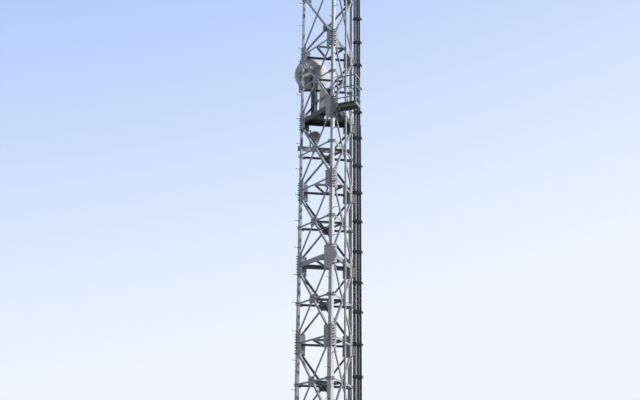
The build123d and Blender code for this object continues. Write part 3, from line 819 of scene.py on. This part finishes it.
def step_bolt_parts():
    steps = step_spots("left") + step_spots("near")
    nut = bmesh.new()
    rod(nut, STEP_WASHER_R, 0.0, WASHER_T, 10)
    rod(nut, STEP_NUT_R, WASHER_T, STEP_NUT_TOP, 6)
    outer = [pointing(p + n * plate, n, STEP_NUT_TURNS[0]) for p, n, plate, t in steps]
    inner = [pointing(p - n * t, -n, STEP_NUT_TURNS[1]) for p, n, plate, t in steps]
    joined("step_nuts", nut, outer + inner, shaded_bolt_steel)
    collar = bmesh.new()
    rod(collar, COLLAR_R, STEP_LENGTH - COLLAR_H, STEP_LENGTH - COLLAR_TAPER, 12)
    rod(collar, COLLAR_R, STEP_LENGTH - COLLAR_TAPER, STEP_LENGTH, 12, top=COLLAR_END_R)
    joined("step_ends", collar, [pointing(p, n) for p, n, plate, t in steps], tube_steel)


# Cable ladder: clamps with saddles, blocks, nuts and hooks, two thin leads, bolts and joints
SADDLE_HALF_H = 0.062
CLAMP_BLOCKS = ((0.036, 0.102), (0.118, 0.198), (0.214, 0.294))
CLAMP_BLOCK_T = 0.016
CLAMP_BLOCK_HALF_H = 0.054
CLAMP_NUTS_AT = (0.110, 0.206)
CLAMP_BOLT = 0.011
HOOK_FROM = 0.262
HOOK_TO = 0.325
HOOK_W = 0.016
HOOK_T = 0.012
# Leads: place beside the leg, radius, top
LEADS = ((0.1855, 0.006, TOP_Z - 0.030), (0.2835, 0.008, DECK_Z))
LEAD_BACK = -0.021
ARM_BOLT = 0.012
ARM_BOLT_PITCH = 0.085
JOINTS_Z = (1.66, 4.06, 7.03, 9.45, 12.73)
JOINT_HALF_W = 0.013
JOINT_T = 0.004
JOINT_HALF_H = 0.085


def cable_clamp_parts():
    rungs_z = [BASE_RISE + BAY * share for share in RUNGS_AT]
    rungs = [Matrix.Translation(beside_leg(0, 0, z)) for z in rungs_z]
    reach = CABLE_R + 0.001
    depth = 2 * CABLE_R + 0.0005
    saddles = bmesh.new()
    for u in CABLES_AT:
        block(saddles, (u - reach, -depth, -SADDLE_HALF_H), (u + reach, -0.001, SADDLE_HALF_H))
    for left, right in CLAMP_BLOCKS:
        low = (left, CLAMP_FRONT - CLAMP_BLOCK_T, -CLAMP_BLOCK_HALF_H)
        block(saddles, low, (right, CLAMP_FRONT, CLAMP_BLOCK_HALF_H))
    upright = [e for e in saddles.edges if abs(e.verts[0].co.z - e.verts[1].co.z) > 0.1]
    soften(saddles, upright, 0.007)
    joined("cable_saddles", saddles, rungs, clamp_black)
    nuts = [pointing(beside_leg(u, CLAMP_FRONT, z), FRONT, 0.3) for z in rungs_z for u in CLAMP_NUTS_AT]
    joined("clamp_nuts", nut_and_end(CLAMP_BOLT), nuts, shaded_bolt_steel)
    hook = bmesh.new()
    block(hook, (HOOK_FROM, CLAMP_FRONT - HOOK_T, -0.006), (HOOK_TO, CLAMP_FRONT, 0.014))
    block(hook, (HOOK_TO - HOOK_W, CLAMP_FRONT - HOOK_T, -0.075), (HOOK_TO, CLAMP_FRONT, -0.006))
    joined("clamp_hooks", hook, rungs, clamp_black)


def ladder_leads():
    bm = bmesh.new()
    for u, radius, top in LEADS:
        rod(bm, radius, LADDER_LOW, top, 10, Matrix.Translation(beside_leg(u, LEAD_BACK, 0)))
    piece("ladder_leads", bm, cable_black)


def ladder_bolts_and_joints():
    front = -RAIL_DEPTH - ARM_T
    arm_spots = []
    for k in range(1, BAYS + 1):
        for i in range(4 if ARM_DOWN[k] > 0.2 else 2):
            spot = beside_leg(RAILS_AT[0], front, level(k) - 0.01 - i * ARM_BOLT_PITCH)
            arm_spots.append(pointing(spot, FRONT, 0.2))
    joined("arm_bolts", bolt_head(ARM_BOLT), arm_spots, shaded_bolt_steel)
    joint = bmesh.new()
    block(joint, (-JOINT_HALF_W, -JOINT_T, -JOINT_HALF_H), (JOINT_HALF_W, 0.0, JOINT_HALF_H))
    for z in (-0.06, -0.02, 0.02, 0.06):
        rod(joint, 0.006, 0.0, 0.007, 6, pointing((0, -JOINT_T, z), FRONT))
    places = [Matrix.Translation(beside_leg(u, -RAIL_DEPTH, z)) for z in JOINTS_Z for u in RAILS_AT]
    joined("ladder_rail_joints", joint, places, rail_steel)


# Climbing rail: bands with bolts at its blocks, and sleeves where its lengths meet
BAND_H = 0.044
LUG_OUT = PIPE_R + 0.014
SLEEVE_HALF_H = 0.080
SLEEVE_ABOVE_LEVEL = 0.55


def climbing_rail_parts():
    band = bmesh.new()
    radius = PIPE_R + 0.004
    bmesh.ops.create_cone(band, cap_ends=False, segments=24, radius1=radius, radius2=radius, depth=BAND_H)
    bmesh.ops.solidify(band, geom=band.faces[:], thickness=0.0035)
    for side in (-1, 1):
        lug = side * LUG_OUT
        block(band, (-0.030, lug - 0.012, -0.020), (-0.014, lug + 0.012, 0.020))
        rod(band, 0.007, -0.014, -0.006, 6, at(0, side * (LUG_OUT + 0.002), 0) @ ACROSS)
    heights = [level(k) for k in range(BAYS + 1)] + [mid_level(k) for k in range(BAYS - 1)]
    places = [on_right_face(PIPE_OUT, 0.0, z) for z in heights]
    joined("climbing_rail_bands", band, places, plate_steel)
    sleeve = bmesh.new()
    rod(sleeve, PIPE_R + 0.005, -SLEEVE_HALF_H, SLEEVE_HALF_H, 24)
    for z in (-0.05, 0.05):
        rod(sleeve, 0.008, PIPE_R, PIPE_R + 0.013, 6, at(0, 0, z) @ ACROSS)
    places = [on_right_face(PIPE_OUT, 0.0, level(k) + SLEEVE_ABOVE_LEVEL) for k in range(BAYS)]
    joined("climbing_rail_sleeves", sleeve, places, tube_steel)


# Feet: anchor rods with a washer and two nuts each
PLATE_T = 0.025
ANCHOR_RING = 0.230


def anchor_rods():
    bm = bmesh.new()
    rod(bm, 0.030, PLATE_T, PLATE_T + 0.005, 16)
    rod(bm, 0.026, PLATE_T + 0.005, PLATE_T + 0.029, 6)
    rod(bm, 0.024, PLATE_T + 0.029, PLATE_T + 0.041, 6)
    rod(bm, 0.0145, 0.0, PLATE_T + 0.075, 12)
    places = [
        leg_place(name) @ at(0, -AXIS_Y, 0) @ spot for name in TURNS for spot in in_ring(ANCHOR_RING, 4, 45.0)
    ]
    joined("anchor_nuts", bm, places, shaded_bolt_steel)


# Platform: hatch rim with hinges, and joists below
HATCH_HALF = 0.230
# Joists: distance behind the mast's axis, half length
JOISTS = ((-0.200, 0.430), (0.330, 0.735))
JOIST_T = 0.006
JOIST_LIP = 0.050


def platform_parts():
    bm = bmesh.new()
    for i in range(4):
        side = Matrix.Translation(HATCH) @ Matrix.Rotation(math.pi / 2 * i, 4, "Z")
        block(bm, (-HATCH_HALF, 0.200, 0.0), (0.206, 0.206, 0.040), side)
        block(bm, (-HATCH_HALF, 0.206, 0.0), (HATCH_HALF, HATCH_HALF, 0.006), side)
    for x in (-0.12, 0.12):
        rod(bm, 0.009, -0.035, 0.035, 12, Matrix.Translation(HATCH + Vector((x, 0.215, 0.015))) @ ACROSS)
    piece("hatch_rim", bm, deck_steel)
    bm = bmesh.new()
    top = DECK_Z - 0.030
    for y, reach in JOISTS:
        back = AXIS_Y + y + JOIST_T / 2
        block(bm, (-reach, back - JOIST_T, DECK_Z - 0.090), (reach, back, top))
        block(bm, (-reach, back, top - JOIST_T), (reach, AXIS_Y + y + JOIST_LIP, top))
    piece("deck_joists", bm, shaded_brace_steel)


# Landing: feet of the guard posts, and couplers where rails and posts meet
POST_INSET = 0.020
POSTS = (
    (0.060, LANDING_FROM + POST_INSET),
    (LANDING_OUT - POST_INSET, LANDING_FROM + POST_INSET),
    (LANDING_OUT - POST_INSET, LANDING_TO - POST_INSET),
)
COUPLER_HALF = 0.0195
COUPLER_HALF_H = 0.026
RAILS_ABOVE_DECK = (0.180, 0.550)


def landing_parts():
    foot = bmesh.new()
    block(foot, (-0.030, -0.020, 0.0), (0.017, 0.060, 0.006))
    block(foot, (-0.060, -0.020, 0.0), (-0.017, 0.017, 0.006))
    for x, y in ((0.0, 0.042), (-0.042, 0.0)):
        rod(foot, 0.010, 0.006, 0.013, 6, at(x, y, 0))
    footed = (POSTS[1], POSTS[0])
    places = [on_right_face(out, along, DECK_Z) for out, along in footed]
    joined("post_feet", foot, places, plate_steel)
    coupler = bmesh.new()
    low = (-COUPLER_HALF, -COUPLER_HALF, -COUPLER_HALF_H)
    block(coupler, low, (COUPLER_HALF, COUPLER_HALF, COUPLER_HALF_H))
    rod(coupler, 0.007, COUPLER_HALF, 0.026, 6, ACROSS)
    soften(coupler, [e for e in coupler.edges if e.calc_length() > 0.03], 0.004)
    places = [on_right_face(out, along, DECK_Z + dz) for out, along in POSTS for dz in RAILS_ABOVE_DECK]
    joined("guard_rail_couplers", coupler, places, plate_steel)


# Bent rods that hold the dishes and the radio to their poles
def pole_clamps():
    places = [
        around(DISH_POLE, POLE_CLAMPS_Z + dz + up, -75.0)
        for dz in (-0.600, -0.160)
        for up in (-0.024, 0.024)
    ]
    joined("dish_pole_clamps", u_bolt(0.051, 0.006, 0.070), places, shaded_bolt_steel)
    middle = RADIO_Z + RADIO_H / 2
    places = [around(GEAR_POLE, middle + dz, -90.0) for dz in (-0.14, 0.14)]
    joined("radio_clamps", u_bolt(0.046, 0.005, 0.050), places, shaded_bolt_steel)
    places = [around(SMALL_POLE, BEAM_Z + SMALL_DISH_UP + dz, 0.0) for dz in (-0.013, 0.013)]
    joined("small_dish_clamps", u_bolt(0.029, 0.004, 0.050), places, shaded_bolt_steel)


# Large dish: a shallow drum seen from its back, with its mount to the pole
DISH_WALL = 0.012
RIM_STEP = 0.006
DISH_STEPS = 72
BOWL_RINGS = 14
HUB_STEPS = 48
CLIP_HALF_W = 0.012
BOX_X = (-0.434, -0.060)
BOX_Y = (-0.020, 0.280)
BOX_FLANGE_T = 0.006
BOX_BOLTS_X = (-0.40, -0.33, -0.26, -0.19, -0.12)
BOX_BOLTS_Y = (0.02, 0.24)
SADDLE_X = (-0.535, -0.425)
SADDLES_Y = ((-0.060, 0.120), (0.222, 0.290))


def dish_place():
    # X to the dish's side, Y down, Z along its axis.
    axis = Vector((math.cos(DISH_TURN), math.sin(DISH_TURN), 0))
    side = Vector((math.sin(DISH_TURN), -math.cos(DISH_TURN), 0))
    return Matrix.Translation(DISH_AT) @ Matrix((side, (0, 0, -1), axis)).transposed().to_4x4()


def bowl_curve(radius, low, high):
    # Points from the axis to the edge of a shallow bowl.
    rings = range(BOWL_RINGS + 1)
    return [(radius * i / BOWL_RINGS, low + (high - low) * (i / BOWL_RINGS) ** 2) for i in rings]


def mount_to_pole(place):
    # A bolted hub, a box beside it, and two saddles on the pole.
    hub = [
        (0.0, -0.235),
        (0.142, -0.235),
        (0.150, -0.227),
        (0.150, -0.178),
        (0.205, -0.166),
        (0.205, -0.150),
        (0.0, -0.175),
    ]
    bm = turned_on_axis(hub, place, HUB_STEPS)
    for spot in in_ring(0.120, 12):
        rod(bm, 0.009, -0.244, -0.235, 6, place @ spot)
    block(bm, (BOX_X[0], BOX_Y[0], -0.285), (BOX_X[1], BOX_Y[1], -0.225), place)
    for low, high in ((BOX_Y[0] - BOX_FLANGE_T, BOX_Y[0]), (BOX_Y[1], BOX_Y[1] + BOX_FLANGE_T)):
        block(bm, (BOX_X[0], low, -0.300), (BOX_X[1], high, -0.225), place)
    for low, high in SADDLES_Y:
        block(bm, (SADDLE_X[0], low, -0.290), (SADDLE_X[1], high, -0.150), place)
    for x in BOX_BOLTS_X:
        for y in BOX_BOLTS_Y:
            rod(bm, 0.011, 0.285, 0.297, 6, place @ at(x, y, 0) @ Matrix.Rotation(math.pi, 4, "X"))
    return piece("dish_mount", bm, plate_steel)


def large_dish():
    place = dish_place()
    inner_r = DISH_R - DISH_WALL
    bowl = bowl_curve(DISH_R, -DISH_BULGE, 0.0) + [(DISH_R, 0.020), (inner_r, 0.020)]
    bowl += bowl_curve(inner_r, 0.008 - DISH_BULGE, 0.012)[::-1]
    rim = [
        (DISH_R, 0.021),
        (DISH_R, 0.034),
        (DISH_R - RIM_STEP, 0.040),
        (DISH_R - RIM_STEP, 0.152),
        (DISH_R, 0.158),
        (DISH_R, 0.170),
        (inner_r, 0.170),
        (inner_r, 0.021),
    ]
    cover = [
        (0.0, 0.171),
        (DISH_R, 0.171),
        (DISH_R, 0.182),
        (0.590, 0.187),
        (0.40, 0.197),
        (0.20, 0.203),
        (0.0, 0.205),
    ]
    dish_bowl = piece("dish_bowl", turned_on_axis(bowl, place, DISH_STEPS), dish_back)
    dish_rim = piece("dish_rim", turned_on_axis(rim, place, DISH_STEPS), dish_white)
    dish_face = piece("dish_face", turned_on_axis(cover, place, DISH_STEPS), radome_white)
    dish_mount = mount_to_pole(place)
    for obj in (dish_bowl, dish_rim, dish_face):
        smooth_by_angle(obj)
    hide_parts("large_dish_reflector")
    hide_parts("large_dish_shroud")
    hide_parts("large_dish_radome")
    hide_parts("large_dish_hub")
    clip = bmesh.new()
    outer_r = DISH_R + RIM_STEP
    block(clip, (DISH_R - RIM_STEP, -CLIP_HALF_W, 0.160), (outer_r, CLIP_HALF_W, 0.190))
    block(clip, (0.580, -CLIP_HALF_W, 0.186), (outer_r, CLIP_HALF_W, 0.190))
    clips = [place @ Matrix.Rotation(math.radians(15 + 30 * i), 4, "Z") for i in range(12)]
    joined("dish_clips", clip, clips, shaded_bolt_steel)


# Radio unit: cooling fins, a bar at each end, and glands where its cables enter
UNIT = Vector((GEAR_POLE.x + 0.110, GEAR_POLE.y - 0.1123, RADIO_Z))
FIN_PITCH = 0.018
FIN_HALF_T = 0.002


def radio_parts():
    place = Matrix.Translation(UNIT)
    bm = bmesh.new()
    for i in range(-4, 5):
        x = FIN_PITCH * i
        block(bm, (x - FIN_HALF_T, -0.076, 0.030), (x + FIN_HALF_T, -0.059, RADIO_H - 0.030), place)
    for i in range(-2, 3):
        y = FIN_PITCH * i
        block(bm, (-0.100, y - FIN_HALF_T, 0.040), (-0.089, y + FIN_HALF_T, RADIO_H - 0.040), place)
    for z in (0.012, RADIO_H - 0.022):
        block(bm, (-0.086, -0.070, z), (0.086, -0.059, z + 0.010), place)
    piece("radio_fins", bm, unit_grey)
    gland = bmesh.new()
    rod(gland, 0.016, -0.012, 0.0, 6)
    rod(gland, 0.0135, -0.045, -0.012, 12)
    places = [at(GEAR_POLE.x + x, GEAR_POLE.y - 0.072, RADIO_Z) for x in (0.046, 0.072, 0.098)]
    joined("radio_glands", gland, places, shaded_bolt_steel)


# Cables clipped to the left of the radio's pole, with the box that they enter
POLE_CABLES = ((-0.056, -0.010), (-0.062, 0.022), (-0.082, 0.002), (-0.020, -0.055))
POLE_CABLE_R = 0.013
JUNCTION_LOW = 1.150
JUNCTION_TOP = 1.400
CLIPS_AT = (0.10, 0.38, 0.66, 0.94)
CLIP_H = 0.022


def pole_cable_parts():
    pole_foot = at(GEAR_POLE.x, GEAR_POLE.y, DECK_Z)
    bm = bmesh.new()
    for x, y in POLE_CABLES:
        rod(bm, POLE_CABLE_R, 0.0, JUNCTION_LOW, 10, pole_foot @ at(x, y, 0))
    piece("pole_cables", bm, cable_black)
    bm = bmesh.new()
    block(bm, (-0.150, -0.045, JUNCTION_LOW), (-0.041, 0.045, JUNCTION_TOP), pole_foot)
    soften(bm, bm.edges[:], 0.006)
    piece("junction_box", bm, black_paint)
    bm = bmesh.new()
    for z in CLIPS_AT:
        block(bm, (-0.100, -0.074, z), (0.045, -0.070, z + CLIP_H))
        block(bm, (-0.104, -0.074, z), (-0.100, 0.045, z + CLIP_H))
    joined("cable_clips", bm, [pole_foot], shaded_bolt_steel)


# Cabinet: hood, door with a vent, hinges, handle, lock and glands
HINGES_AT = (0.090, 0.360, 0.620)
VENT_BARS = 6
VENT_PITCH = 0.018


def cabinet_parts():
    place = Matrix.Translation(CABINET)
    hood = bmesh.new()
    block(hood, (-0.114, -0.089, 0.600), (0.114, 0.089, 0.745), place)
    block(hood, (-0.121, -0.100, 0.728), (0.121, 0.093, 0.760), place)
    soften(hood, hood.edges[:], 0.004)
    piece("cabinet_hood", hood, cabinet_grey)
    door = bmesh.new()
    block(door, (-0.100, -0.096, 0.030), (0.100, -0.090, 0.700), place)
    soften(door, door.edges[:], 0.0025)
    for i in range(VENT_BARS):
        z = 0.560 + VENT_PITCH * i
        block(door, (-0.060, -0.099, z), (0.060, -0.095, z + 0.008), place)
    piece("cabinet_door", door, cabinet_grey)
    bm = bmesh.new()
    for z in HINGES_AT:
        rod(bm, 0.006, z - 0.030, z + 0.030, 10, place @ at(-0.106, -0.094, 0))
    block(bm, (0.076, -0.106, 0.330), (0.090, -0.096, 0.430), place)
    rod(bm, 0.009, 0.0, 0.010, 12, pointing(CABINET + Vector((0.083, -0.096, 0.300)), FRONT))
    for x in (-0.07, 0.0, 0.07):
        rod(bm, 0.012, -0.001, 0.016, 6, place @ at(x, 0.110, 0))
    piece("cabinet_fittings", bm, shaded_bolt_steel)


# Beam and small dish: bolts through the web, the pole's foot, a face and bolts on the dish
SMALL_DISH_STEPS = 40


def beam_and_small_dish():
    spots = []
    for x in (-BRACE_END_X, BRACE_END_X):
        for dz in (-0.045, 0.0, 0.045):
            spots.append((*face_spot("back", x, BEAM_Z + dz, BEAM_T), BEAM_T + GUSSET_T))
    bolts("beam_bolts", spots, FACE_BOLT)
    foot = bmesh.new()
    block(foot, (-0.055, -0.024, 0.0), (0.055, 0.024, 0.008))
    rod(foot, 0.030, 0.008, 0.050, 20)
    for x in (-0.043, 0.043):
        rod(foot, 0.010, 0.008, 0.017, 6, at(x, 0, 0))
    on_beam = Matrix.Translation(SMALL_POLE + Vector((0, 0, 0.078)))
    joined("small_pole_foot", foot, [on_beam], plate_steel)
    centre = SMALL_POLE + Vector((0.185, 0.102, SMALL_DISH_UP))
    place = Matrix.Translation(centre) @ Matrix.Rotation(-math.pi / 2, 4, "X")
    cover = [
        (0.180, 0.125),
        (0.1845, 0.130),
        (0.1845, 0.158),
        (0.176, 0.164),
        (0.0, 0.170),
        (0.0, 0.160),
        (0.180, 0.160),
    ]
    bm = turned_on_axis(cover, place, SMALL_DISH_STEPS)
    smooth_by_angle(piece("small_dish_face", bm, radome_white))
    bm = bmesh.new()
    for spot in in_ring(0.060, 6):
        rod(bm, 0.007, -0.008, 0.0, 6, place @ spot)
    piece("small_dish_bolts", bm, shaded_bolt_steel)


leg_bolts()
bracing_bolts()
cover_bolts()
step_bolt_parts()
cable_clamp_parts()
ladder_leads()
ladder_bolts_and_joints()
climbing_rail_parts()
anchor_rods()
platform_parts()
landing_parts()
pole_clamps()
large_dish()
radio_parts()
pole_cable_parts()
cabinet_parts()
beam_and_small_dish()


# Stage: a floor that is seen from above only, pale to look at and dark in the light it sends back
FLOOR_HALF = 80.0
FLOOR_SEEN = (0.80, 0.82, 0.84)
FLOOR_BOUNCE = (0.10, 0.10, 0.09)


def lay_floor():
    bm = bmesh.new()
    bmesh.ops.create_grid(bm, x_segments=1, y_segments=1, size=FLOOR_HALF)
    mesh = bpy.data.meshes.new("floor")
    bm.to_mesh(mesh)
    bm.free()
    floor = bpy.data.objects.new("floor", mesh)
    bpy.context.scene.collection.objects.link(floor)
    f = Finish("floor")
    seen = f.background_rays()
    from_below = f.node("ShaderNodeNewGeometry", out=6)
    pale = f.node("ShaderNodeBsdfDiffuse", {}, {"Color": f.mix(seen, FLOOR_BOUNCE, FLOOR_SEEN)})
    clear = f.node("ShaderNodeBsdfTransparent")
    both = f.node("ShaderNodeMixShader", {}, {0: from_below, 1: pale, 2: clear})
    f.node("ShaderNodeOutputMaterial", {}, {"Surface": both})
    mesh.materials.append(f.mat)


# Light: a sky that is paler near the horizon where it shows and dim as a light, and three lamps
SKY_LOW = (0.86, 0.92, 1.0)
SKY_HIGH = (0.44, 0.60, 0.97)
SKY_LEAN = 0.25
SKY_FROM = 0.20
SKY_SPAN = 0.38
SOFT_LIGHT = (0.78, 0.88, 1.0, 1.0)
SOFT_STRENGTH = 0.12


def light_sky():
    world = bpy.data.worlds.new("studio")
    bpy.context.scene.world = world
    world.use_nodes = True
    w = Nodes(world.node_tree)
    heading = w.node("ShaderNodeTexCoord", out=0)
    height = w.part(heading, 2) - w.part(heading, 0) * SKY_LEAN
    colour = w.mix(((height - SKY_FROM) / SKY_SPAN).clip(), SKY_LOW, SKY_HIGH)
    shown = w.node("ShaderNodeBackground", {}, {"Color": colour, "Strength": 1.0})
    soft = w.node("ShaderNodeBackground", {}, {"Color": SOFT_LIGHT, "Strength": SOFT_STRENGTH})
    both = w.node("ShaderNodeMixShader", {}, {0: w.background_rays(), 1: soft, 2: shown})
    w.node("ShaderNodeOutputWorld", {}, {"Surface": both})


def lamp(name, energy, spread, colour, comes_from):
    data = bpy.data.lights.new(name, "SUN")
    data.energy = energy
    data.angle = math.radians(spread)
    data.color = colour
    obj = bpy.data.objects.new(name, data)
    bpy.context.scene.collection.objects.link(obj)
    obj.rotation_euler = Vector(comes_from).to_track_quat("Z", "Y").to_euler()


lay_floor()
light_sky()
lamp("key", 3.4, 3.0, (1.0, 0.97, 0.92), (0.82, -0.28, 0.50))
lamp("fill", 0.45, 50.0, (0.80, 0.89, 1.0), (-1.0, -0.10, 0.42))
lamp("back", 1.2, 60.0, (0.90, 0.95, 1.0), (0.1, 1.0, 0.35))

bpy.context.scene.view_settings.view_transform = "Standard"

bpy.context.view_layer.update()
